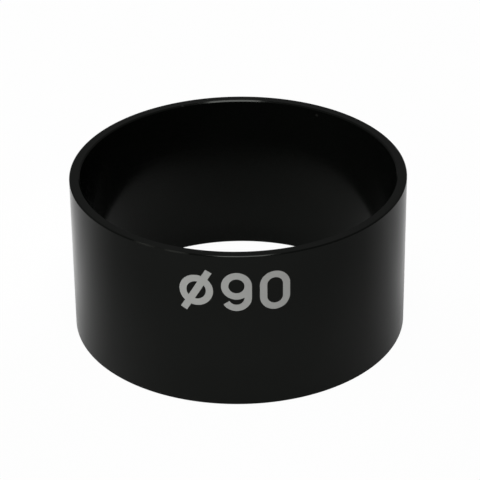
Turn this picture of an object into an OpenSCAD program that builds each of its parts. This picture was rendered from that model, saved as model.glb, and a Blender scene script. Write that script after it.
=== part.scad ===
// Tapered piston ring compressor: a one-piece sleeve for one engine bore.
// The sleeve stands on the engine's deck with its axis on the cylinder's axis.
// The piston goes in at the rim, the taper closes its rings, and the straight
// land hands them over to the cylinder. Millimetres, +Z up, origin on the axis
// in the deck face.

/* [Bore] */
// Engine bore that the sleeve serves, which is the diameter of the straight land
bore_d = 90; // [50:0.1:130]
// Height of the top of the straight land above the deck face
land_h = 6; // [3:0.5:15]
// How much wider the mouth of the taper is than the bore, for rings at their free size
mouth_gain = 5.1; // [1:0.1:8]

/* [Sleeve] */
// Height from the deck face to the rim
sleeve_h = 50.2; // [30:0.1:80]
// Wall thickness at the mouth of the taper, the thinnest place of the wall
mouth_wall = 3.15; // [2.5:0.05:8]

/* [Edges] */
// Chamfer that leads the rings from the rim into the taper
lead_in = 0.4; // [0.2:0.05:1]
// Chamfer on the two outside edges
outer_chamfer = 0.3; // [0.1:0.05:0.8]
// Chamfer where the straight land meets the deck face
deck_chamfer = 0.2; // [0.1:0.05:0.5]

/* [Hidden] */
$fn = 180;

bore_r = bore_d / 2;
mouth_r = bore_r + mouth_gain / 2;
outer_r = mouth_r + mouth_wall;

// Half section of the wall, from the deck face round the outside, over the rim,
// down the lead-in and the taper to the straight land
module wall_section() {
    polygon([
        [bore_r + deck_chamfer, 0],
        [outer_r - outer_chamfer, 0],
        [outer_r, outer_chamfer],
        [outer_r, sleeve_h - outer_chamfer],
        [outer_r - outer_chamfer, sleeve_h],
        [mouth_r + lead_in, sleeve_h],
        [mouth_r, sleeve_h - lead_in],
        [bore_r, land_h],
        [bore_r, deck_chamfer]
    ]);
}

module tapered_sleeve() {
    color([0.1, 0.1, 0.1])
    rotate_extrude()
    wall_section();
}

tapered_sleeve();
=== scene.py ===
import math

import bpy
from mathutils import Euler, Matrix, Vector
from mathutils.geometry import delaunay_2d_cdt


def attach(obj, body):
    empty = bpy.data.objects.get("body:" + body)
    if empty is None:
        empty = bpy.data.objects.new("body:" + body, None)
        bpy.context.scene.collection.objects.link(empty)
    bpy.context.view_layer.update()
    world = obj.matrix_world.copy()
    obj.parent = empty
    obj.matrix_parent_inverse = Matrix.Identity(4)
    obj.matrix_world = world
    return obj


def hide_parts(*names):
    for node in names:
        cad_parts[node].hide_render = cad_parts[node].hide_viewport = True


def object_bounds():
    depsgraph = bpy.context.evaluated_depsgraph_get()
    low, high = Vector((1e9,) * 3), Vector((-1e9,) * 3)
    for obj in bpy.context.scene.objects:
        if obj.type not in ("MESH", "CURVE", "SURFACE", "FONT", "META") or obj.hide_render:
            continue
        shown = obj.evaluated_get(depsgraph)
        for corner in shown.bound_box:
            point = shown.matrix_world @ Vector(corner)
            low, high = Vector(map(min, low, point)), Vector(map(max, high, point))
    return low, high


mm = 0.001
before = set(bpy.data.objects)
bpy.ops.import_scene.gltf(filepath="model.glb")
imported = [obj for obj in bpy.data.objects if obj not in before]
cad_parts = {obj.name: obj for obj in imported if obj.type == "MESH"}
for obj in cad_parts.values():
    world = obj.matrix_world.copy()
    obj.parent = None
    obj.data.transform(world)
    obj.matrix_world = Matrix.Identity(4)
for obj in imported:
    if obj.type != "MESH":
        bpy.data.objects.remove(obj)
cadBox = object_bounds()
print("frame loaded, box", [round(v, 4) for corner in cadBox for v in corner])


# a socket of a node tree: arithmetic on it adds Math nodes
class Wire:
    def __init__(self, tree, socket):
        self.tree = tree
        self.socket = socket

    def maths(self, operation, *values):
        return addNode(self.tree, "ShaderNodeMath", {"operation": operation}, dict(enumerate(values)))

    def also(self, name):
        return Wire(self.tree, self.socket.node.outputs[name])      # another output of the same node

    def __add__(self, other):
        return self.maths("ADD", self, other)

    def __radd__(self, other):
        return self.maths("ADD", other, self)

    def __sub__(self, other):
        return self.maths("SUBTRACT", self, other)

    def __rsub__(self, other):
        return self.maths("SUBTRACT", other, self)

    def __mul__(self, other):
        return self.maths("MULTIPLY", self, other)

    def __rmul__(self, other):
        return self.maths("MULTIPLY", other, self)

    def __truediv__(self, other):
        return self.maths("DIVIDE", self, other)

    def __rtruediv__(self, other):
        return self.maths("DIVIDE", other, self)

    def __pow__(self, other):
        return self.maths("POWER", self, other)

    def __rpow__(self, other):
        return self.maths("POWER", other, self)


# any node: its settings go in first, then the values or links of its sockets
def addNode(tree, kind, settings=None, sockets=None, out=0):
    node = tree.nodes.new(kind)
    for name, value in (settings or {}).items():
        if name == "stops":
            setStops(node.color_ramp, value)
        else:
            setattr(node, name, value)
    for name, value in (sockets or {}).items():
        if isinstance(value, Wire):
            tree.links.new(value.socket, node.inputs[name])
        else:
            node.inputs[name].default_value = value
    return Wire(tree, node.outputs[out]) if len(node.outputs) else None


def setStops(ramp, stops):
    while len(ramp.elements) < len(stops):
        ramp.elements.new(1)
    for element, (place, level) in zip(ramp.elements, stops):
        element.position = place
        element.color = (level, level, level, 1)


def clamped(wire):
    return addNode(wire.tree, "ShaderNodeClamp", None, {"Value": wire})


def greyRamp(place, stops):
    return addNode(place.tree, "ShaderNodeValToRGB", {"stops": stops}, {0: place})


def mixColours(tree, share, first, second, blend="MIX"):
    settings = {"data_type": "RGBA", "blend_type": blend}
    return addNode(tree, "ShaderNodeMix", settings, {0: share, 6: first, 7: second}, out=2)


def lineNoise(along, scale, detail):
    sockets = {"W": along, "Scale": scale, "Detail": detail}
    return addNode(along.tree, "ShaderNodeTexNoise", {"noise_dimensions": "1D"}, sockets)


def cloudNoise(place, scale, detail):
    sockets = {"Vector": place, "Scale": scale, "Detail": detail}
    return addNode(place.tree, "ShaderNodeTexNoise", {"noise_dimensions": "3D"}, sockets)


# tree of a material or a world, emptied
def freshTree(owner):
    owner.use_nodes = True
    owner.node_tree.nodes.clear()
    return owner.node_tree


def newMaterial(name):
    material = bpy.data.materials.new(name)
    return material, freshTree(material)


def newPiece(name, points, faces, material):
    mesh = bpy.data.meshes.new(name)
    mesh.from_pydata(points, [], faces)
    mesh.materials.append(material)
    piece = bpy.data.objects.new(name, mesh)
    bpy.context.scene.collection.objects.link(piece)
    return piece


# camera, at the photograph's place
cameraPlace = {
    "back": 0.62714,      # m in front of the axis
    "height": 0.38732,    # m above the deck face
    "tilt": 29.920,       # degrees below the horizon
    "pan": 0.032,         # degrees to the right
    "roll": -0.691,       # degrees
    "lens": 177.71,       # mm on the sensor's width
    "sensor": 36.0,
}


def placeCamera():
    data = bpy.data.cameras.new("camera")
    data.lens = cameraPlace["lens"]
    data.sensor_width = cameraPlace["sensor"]
    camera = bpy.data.objects.new("camera", data)
    bpy.context.scene.collection.objects.link(camera)
    turn = Euler((math.radians(90 - cameraPlace["tilt"]), 0, math.radians(-cameraPlace["pan"]))).to_matrix()
    turn = turn @ Matrix.Rotation(math.radians(cameraPlace["roll"]), 3, "Z")
    stand = Matrix.Translation((0, -cameraPlace["back"], cameraPlace["height"]))
    camera.matrix_world = stand @ turn.to_4x4()
    bpy.context.scene.camera = camera


placeCamera()
print("camera placed")


# studio: white floor, dim room, a softbox above the front and a large panel on the left
studio = {
    "floorSize": 60.0,
    # painted light on the floor, brightest behind the sleeve and dimmest just in front of it: mm behind the
    # axis, level
    "paintedLitPaper": [(-125, 0.84), (-95, 0.72), (-65, 0.60), (-30, 0.55),
              (0, 0.74), (15, 0.87), (30, 0.90), (48, 1.0)],
    "paperSpan": 130,          # mm, to the ends of that run
    # and the pool of light on it, dimmer inside the sleeve: mm from the axis, share
    "pool": [(20, 0.74), (28, 0.71), (34, 0.63), (40, 0.53), (46, 0.48),
             (48, 1.0), (75, 1.0), (115, 0.74)],
    "poolSpan": 120,           # mm, to the end of the pool
    "white": (1, 1, 1, 1),
    "whiteSeen": 0.97,         # share of plain white in what the camera sees of the floor
    "whiteMirrored": 0.02,     # and in what a gloss or a glass shows of floor and room
    "room": [(0, 0.10), (12, 0.10), (26, 0.18), (45, 0.18), (70, 0.12)],      # degrees up, level
    # lamps: the panel lights the floor, out of sight of the gloss
    "softbox": {"size": (0.68, 0.80), "range": 1.60, "elevation": 72.0, "azimuth": 3.8, "power": 17.3,
                "mirrored": True},
    "panel": {"size": (1.31, 0.90), "range": 1.80, "elevation": 32.0, "azimuth": -66.0, "power": 16.5,
              "mirrored": False},
}


def whiteShare(tree, seen):
    light = addNode(tree, "ShaderNodeLightPath")
    mirrored = light.also("Is Glossy Ray") + light.also("Is Transmission Ray")
    return light.also("Is Camera Ray") * seen + mirrored * studio["whiteMirrored"]


def whiteFloor():
    material, tree = newMaterial("whiteFloor")
    place = addNode(tree, "ShaderNodeTexCoord", out="Object")
    x = addNode(tree, "ShaderNodeSeparateXYZ", None, {0: place})
    behind = x.also("Y")
    away = (x * x + behind * behind) ** 0.5
    span, reach = studio["paperSpan"], studio["poolSpan"]
    runStops = [((far + span) / (2 * span), level) for far, level in studio["paintedLitPaper"]]
    poolStops = [(far / reach, level) for far, level in studio["pool"]]
    # painted light and shade: the grey brightens behind the sleeve, and the pool dims it inside the sleeve
    run = greyRamp(behind / (2 * span * mm) + 0.5, runStops)
    pool = greyRamp(away / (reach * mm), poolStops)
    grey = mixColours(tree, 1.0, run, pool, "MULTIPLY")
    paintedLitPaper = addNode(tree, "ShaderNodeBsdfPrincipled", None, {
        "Base Color": grey, "Roughness": 1.0, "Specular IOR Level": 0.0})
    white = addNode(tree, "ShaderNodeEmission", None, {"Color": studio["white"], "Strength": 1.0})
    share = whiteShare(tree, studio["whiteSeen"])
    shown = addNode(tree, "ShaderNodeMixShader", None, {0: share, 1: paintedLitPaper, 2: white})
    addNode(tree, "ShaderNodeOutputMaterial", None, {"Surface": shown})
    half = studio["floorSize"] / 2
    corners = [(-half, -half, 0), (half, -half, 0), (half, half, 0), (-half, half, 0)]
    floor = newPiece("floor", corners, [(0, 1, 2, 3)], material)


def dimRoom():
    world = bpy.data.worlds.new("dimRoom")
    tree = freshTree(world)
    towards = addNode(tree, "ShaderNodeTexCoord", out="Generated")
    height = addNode(tree, "ShaderNodeSeparateXYZ", None, {0: towards}, out="Z")
    dim = greyRamp(height, [(math.sin(math.radians(rise)), level) for rise, level in studio["room"]])
    shown = mixColours(tree, whiteShare(tree, 1.0), dim, studio["white"])
    glow = addNode(tree, "ShaderNodeBackground", None, {"Color": shown, "Strength": 1.0})
    addNode(tree, "ShaderNodeOutputWorld", None, {"Surface": glow})
    bpy.context.scene.world = world


def hangLamp(name):
    lamp = studio[name]
    data = bpy.data.lights.new(name, "AREA")
    data.shape = "RECTANGLE"
    data.size, data.size_y = lamp["size"]
    data.energy = lamp["power"]
    hung = bpy.data.objects.new(name, data)
    bpy.context.scene.collection.objects.link(hung)
    rise, turn = math.radians(lamp["elevation"]), math.radians(lamp["azimuth"])
    away = Vector((math.cos(rise) * math.sin(turn), -math.cos(rise) * math.cos(turn), math.sin(rise)))
    hung.location = away * lamp["range"]
    hung.rotation_euler = (-away).to_track_quat("-Z", "Y").to_euler()
    hung.visible_glossy = lamp["mirrored"]


whiteFloor()
dimRoom()
hangLamp("softbox")
hangLamp("panel")
bpy.context.scene.view_settings.view_transform = "Standard"
print("studio set")


# sleeve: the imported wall's section turned again, finer, with its sharp corners just broken
sleeve = {
    "corner": 0.06 * mm,       # what the finishing leaves on a sharp corner
    "outerCorner": 0.30 * mm,  # and on the corners that are handled, along the outside
    "outerReach": 0.5 * mm,    # how far in from the outside those corners lie
    "landBlend": 15 * mm,      # run-out of the taper into the straight land
    "blendTurn": 10,           # degrees: a corner that turns less than this runs out instead
    "roundSteps": 5,
    "rowStep": 5 * mm,
    "columns": 360,
    "black": (0.0018, 0.0021, 0.0018, 1),
    "blackWorn": (0.0026, 0.0029, 0.0025, 1),
    "sheen": (0.96, 1.0, 0.94, 1),      # tint of what the black mirrors face on
    "ior": 1.23,
    "roughness": 0.14,
    "cloudRoughness": 0.08,    # how far clouds and bands in the finish move the roughness
    "bandRoughness": 0.05,
    "clouds": (70.0, 3.0),     # to a metre, detail
    "feed": (7.0, 1.0),        # turned lines to a millimetre, detail, and the slower bands over them
    "bands": (0.9, 2.0),
    "feedShare": 0.7,          # of the lines in the relief, the rest are bands
    "lineHeight": 0.002 * mm,
    "lineStrength": 0.25,
    # where handling has rubbed the rim's outside edge: degrees from the front, half the spread, depth
    "rubbed": [(-32.3, 4.4, 0.85), (-26, 5, 0.3), (-20.6, 4.6, 1.0)],
    "rubbedGrey": (0.0163, 0.0170, 0.0152, 1),
    "rubDepth": 0.42 * mm,     # reach of the rub below the edge's own sharp corner
    "rubFade": 0.12 * mm,
    "rubPatches": (0.4, 1.2),  # least of the rub between the clouds, and what they add
    # nicks in the black, on the wall inside and on the rim's lead-in: place, reach, mm
    "nicks": [((25.06, 40.31, 48.3), 0.6), ((-17.33, 44.55, 50.05), 0.5)],
}


# corners of the wall's half section, from the deck face round the outside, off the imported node
def wallCorners():
    rings = {(round(math.hypot(v.co.x, v.co.y) / mm, 3), round(v.co.z / mm, 3))
             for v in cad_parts["tapered_sleeve"].data.vertices}
    middle = Vector((sum(r for r, z in rings), sum(z for r, z in rings))) / len(rings)
    rings = sorted(rings, key=lambda ring: math.atan2(ring[1] - middle.y, ring[0] - middle.x))
    print("section has", len(rings), "corners:", rings)
    return [Vector(ring) * mm for ring in rings]


# points and outward normals round a convex section whose corners are arcs
def roundedSection(corners):
    section = []
    for i, here in enumerate(corners):
        before = (here - corners[i - 1]).normalized()
        after = (corners[(i + 1) % len(corners)] - here).normalized()
        turn = -before.angle_signed(after)
        outside = here.x > cadBox[1][0] - sleeve["outerReach"]
        radius = sleeve["outerCorner"] if outside else sleeve["corner"]
        if turn < math.radians(sleeve["blendTurn"]):
            radius = sleeve["landBlend"]
        start = here - before * radius * math.tan(turn / 2)
        normal = Vector((before.y, -before.x))
        centre = start - normal * radius
        if section:
            section += straightRun(section[-1][0], start, normal)
        for step in range(sleeve["roundSteps"] + 1):
            spun = Matrix.Rotation(turn * step / sleeve["roundSteps"], 2) @ normal
            section.append((centre + spun * radius, spun))
    last, first = section[-1], section[0]
    return section + straightRun(last[0], first[0], first[1])


def straightRun(start, end, normal):
    rows = int((end - start).length / sleeve["rowStep"])
    return [(start.lerp(end, k / (rows + 1)), normal) for k in range(1, rows + 1)]


def turnSleeve(material):
    section = roundedSection(wallCorners())
    columns, rows = sleeve["columns"], len(section)
    points, normals, faces = [], [], []
    for column in range(columns):
        angle = 2 * math.pi * column / columns
        c, s = math.cos(angle), math.sin(angle)
        points += [(p.x * c, p.x * s, p.y) for p, n in section]
        normals += [(n.x * c, n.x * s, n.y) for p, n in section]
        here, there = column * rows, (column + 1) % columns * rows
        for row in range(rows):
            up = (row + 1) % rows
            faces.append((here + row, there + row, there + up, here + up))
    piece = newPiece("sleeve", points, faces, material)
    piece.data.shade_smooth()
    piece.data.normals_split_custom_set_from_vertices(normals)
    return piece


# share of bare grey on the rim's outside edge, patchy where the clouds are
def rubbedEdge(x, y, along, cloud):
    sharp = (cadBox[1][0] + cadBox[1][2]) / mm
    edge = clamped((along - (sharp - sleeve["rubDepth"] / mm)) / (sleeve["rubFade"] / mm))
    angle = x.maths("ARCTAN2", x, y * -1) * math.degrees(1)
    rub = 0
    for turn, spread, depth in sleeve["rubbed"]:
        off = (angle - turn) / spread
        rub = clamped(1 - off * off) * depth + rub
    least, gain = sleeve["rubPatches"]
    return clamped(edge * rub * (least + cloud * gain))


# and in the nicks
def nickSpots(place):
    spots = 0
    for middle, reach in sleeve["nicks"]:
        gap = addNode(place.tree, "ShaderNodeVectorMath", {"operation": "DISTANCE"},
                      {0: place, 1: [v * mm for v in middle]}, out="Value")
        spots = clamped(1 - gap / (reach * mm)) + spots
    return spots


def blackAnodise():
    material, tree = newMaterial("blackAnodise")
    place = addNode(tree, "ShaderNodeTexCoord", out="Object")
    x = addNode(tree, "ShaderNodeSeparateXYZ", None, {0: place})
    y, z = x.also("Y"), x.also("Z")
    along = ((x * x + y * y) ** 0.5 + z) / mm      # mm along the section, on walls and flats alike
    feed = lineNoise(along, *sleeve["feed"])
    bands = lineNoise(along, *sleeve["bands"])
    cloud = cloudNoise(place, *sleeve["clouds"])
    bare = clamped(rubbedEdge(x, y, along, cloud) + nickSpots(place))
    black = mixColours(tree, cloud, sleeve["black"], sleeve["blackWorn"])
    uneven = (cloud - 0.5) * sleeve["cloudRoughness"] + (bands - 0.5) * sleeve["bandRoughness"]
    lines = feed * sleeve["feedShare"] + bands * (1 - sleeve["feedShare"])
    relief = addNode(tree, "ShaderNodeBump", None, {
        "Height": lines, "Strength": sleeve["lineStrength"], "Distance": sleeve["lineHeight"]})
    surface = addNode(tree, "ShaderNodeBsdfPrincipled", None, {
        "Base Color": mixColours(tree, bare, black, sleeve["rubbedGrey"]),
        "Roughness": sleeve["roughness"] + uneven, "Normal": relief,
        "IOR": sleeve["ior"], "Specular Tint": sleeve["sheen"]})
    addNode(tree, "ShaderNodeOutputMaterial", None, {"Surface": surface})
    return material


sleevePiece = turnSleeve(blackAnodise())
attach(sleevePiece, "root")
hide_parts("tapered_sleeve")
print("sleeve turned,", len(sleevePiece.data.polygons), "faces")


# bore mark: the bore's size in plain strokes, burnt silver into the black on the front of the wall
boreMark = {
    "middle": (-1.4, 38.5),    # mm along the wall from the front line, mm above the deck face
    "stroke": 2.1,             # mm, as all lengths of the strokes
    "halfTall": 5.25,          # from the middle to the stroke's own middle
    "halfWide": 3.35,
    "signRadius": 3.9,         # the round of the diameter sign and its bar
    "barReach": 7.4,
    "barSlope": 60,            # degrees
    "tailEnd": -150,           # degrees, where the nine's tail stops
    "gap": 2.3,                # between neighbours
    "step": 0.5,               # length of a facet along a stroke
    "lanes": 4,                # facets across a stroke
    "merge": 1e-4,             # points of the strokes closer than this become one
    "proud": 0.02 * mm,
    "deep": 0.03 * mm,
    "edgeTurn": 30,            # degrees: a sharper edge stays sharp in the shading
    "silver": (0.415, 0.42, 0.405, 1),
    "silverDull": (0.335, 0.34, 0.325, 1),
    "roughness": 0.5,
    "grainRoughness": 0.2,     # how far the grain moves it
    "grain": (5000.0, 2.0),    # to a metre, detail
    "scan": (9.0, 1.0),        # lines of the burn to a millimetre, detail
    "scanShare": 0.5,          # of the lines in tone and relief, the rest is grain
    "burnHeight": 0.01 * mm,
    "burnStrength": 0.3,
}


def arcPath(middle, radius, start, end):
    count = max(2, round(abs(math.radians(end - start)) * radius / boreMark["step"]))
    angles = [math.radians(start + (end - start) * k / count) for k in range(count + 1)]
    return [middle + Vector((math.cos(a), math.sin(a))) * radius for a in angles]


def linePath(start, end):
    count = max(1, round((end - start).length / boreMark["step"]))
    return [start.lerp(end, k / count) for k in range(count + 1)]


# each stroke is a path; the sign, the nine and the nought stand side by side round the middle
def markPaths():
    tall, wide, sign = boreMark["halfTall"], boreMark["halfWide"], boreMark["signRadius"]
    apart = boreMark["stroke"] + boreMark["gap"]
    slope = math.radians(boreMark["barSlope"])
    bar = Vector((math.cos(slope), math.sin(slope))) * boreMark["barReach"]
    nineAt = Vector((0, 0))
    signAt = nineAt - Vector((sign + apart + wide, 0))
    noughtAt = nineAt + Vector((wide + apart + wide, 0))
    shift = Vector((-(signAt.x - sign + noughtAt.x + wide) / 2, 0))
    top, low, side = Vector((0, tall - wide)), Vector((0, wide - tall)), Vector((wide, 0))
    paths = [
        (signAt, arcPath(Vector((0, 0)), sign, 0, 360)),
        (signAt, linePath(-bar, bar)),
        (nineAt, arcPath(top, wide, 0, 360)),
        (nineAt, linePath(top + side, low + side)[:-1] + arcPath(low, wide, 0, boreMark["tailEnd"])),
        (noughtAt, arcPath(top, wide, 0, 180)[:-1] + linePath(top - side, low - side)[:-1]
         + arcPath(low, wide, 180, 360)[:-1] + linePath(low + side, top + side)),
    ]
    return [[point + at + shift for point in path] for at, path in paths]


# a path's stroke as lanes of small facets
def strokeFacets(path):
    closed = (path[0] - path[-1]).length < boreMark["merge"]
    if closed:
        path = path[:-1]
    lanes = boreMark["lanes"]
    rows = []
    for i, here in enumerate(path):
        before = path[i - 1] if closed or i else here
        after = path[(i + 1) % len(path)] if closed or i + 1 < len(path) else here
        ahead = (after - before).normalized()
        across = Vector((-ahead.y, ahead.x)) * boreMark["stroke"]
        rows.append([here + across * (k / lanes - 0.5) for k in range(lanes + 1)])
    if closed:
        rows.append(rows[0])
    return [(a[k], b[k], b[k + 1], a[k + 1]) for a, b in zip(rows, rows[1:]) for k in range(lanes)]


# one flat outline out of all the overlapping strokes, as triangles
def joinedStrokes():
    points, facets = [], []
    for path in markPaths():
        for facet in strokeFacets(path):
            facets.append(list(range(len(points), len(points) + 4)))
            points += facet
    insideOnly = 1      # no triangles outside the facets
    flat, _, triangles, _, _, sources = delaunay_2d_cdt(points, [], facets, insideOnly, boreMark["merge"])
    return flat, [tuple(t) for t, source in zip(triangles, sources) if source]


# the flat outline bent round the wall and closed into a thin solid
def burnMark(material):
    flat, triangles = joinedStrokes()
    wall = cadBox[1][0]
    along, height = boreMark["middle"]

    def bent(point, radius):
        angle = (point.x + along) * mm / wall
        return (radius * math.sin(angle), -radius * math.cos(angle), (point.y + height) * mm)

    count = len(flat)
    points = [bent(p, wall + boreMark["proud"]) for p in flat]
    points += [bent(p, wall - boreMark["deep"]) for p in flat]
    faces = triangles + [tuple(i + count for i in reversed(t)) for t in triangles]
    edges = {(t[k], t[(k + 1) % 3]) for t in triangles for k in range(3)}
    faces += [(b, a, a + count, b + count) for a, b in edges if (b, a) not in edges]
    piece = newPiece("boreMark", points, faces, material)
    piece.data.shade_smooth()
    piece.data.set_sharp_from_angle(angle=math.radians(boreMark["edgeTurn"]))
    return piece


def laserSilver():
    material, tree = newMaterial("laserSilver")
    place = addNode(tree, "ShaderNodeTexCoord", out="Object")
    z = addNode(tree, "ShaderNodeSeparateXYZ", None, {0: place}, out="Z")
    scan = lineNoise(z / mm, *boreMark["scan"])
    grain = cloudNoise(place, *boreMark["grain"])
    dull = scan * boreMark["scanShare"] + grain * (1 - boreMark["scanShare"])
    relief = addNode(tree, "ShaderNodeBump", None, {
        "Height": dull, "Strength": boreMark["burnStrength"], "Distance": boreMark["burnHeight"]})
    surface = addNode(tree, "ShaderNodeBsdfPrincipled", None, {
        "Base Color": mixColours(tree, dull, boreMark["silver"], boreMark["silverDull"]),
        "Roughness": boreMark["roughness"] + (grain - 0.5) * boreMark["grainRoughness"], "Normal": relief})
    addNode(tree, "ShaderNodeOutputMaterial", None, {"Surface": surface})
    return material


markPiece = burnMark(laserSilver())
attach(markPiece, "root")
print("bore mark burnt,", len(markPiece.data.polygons), "faces")
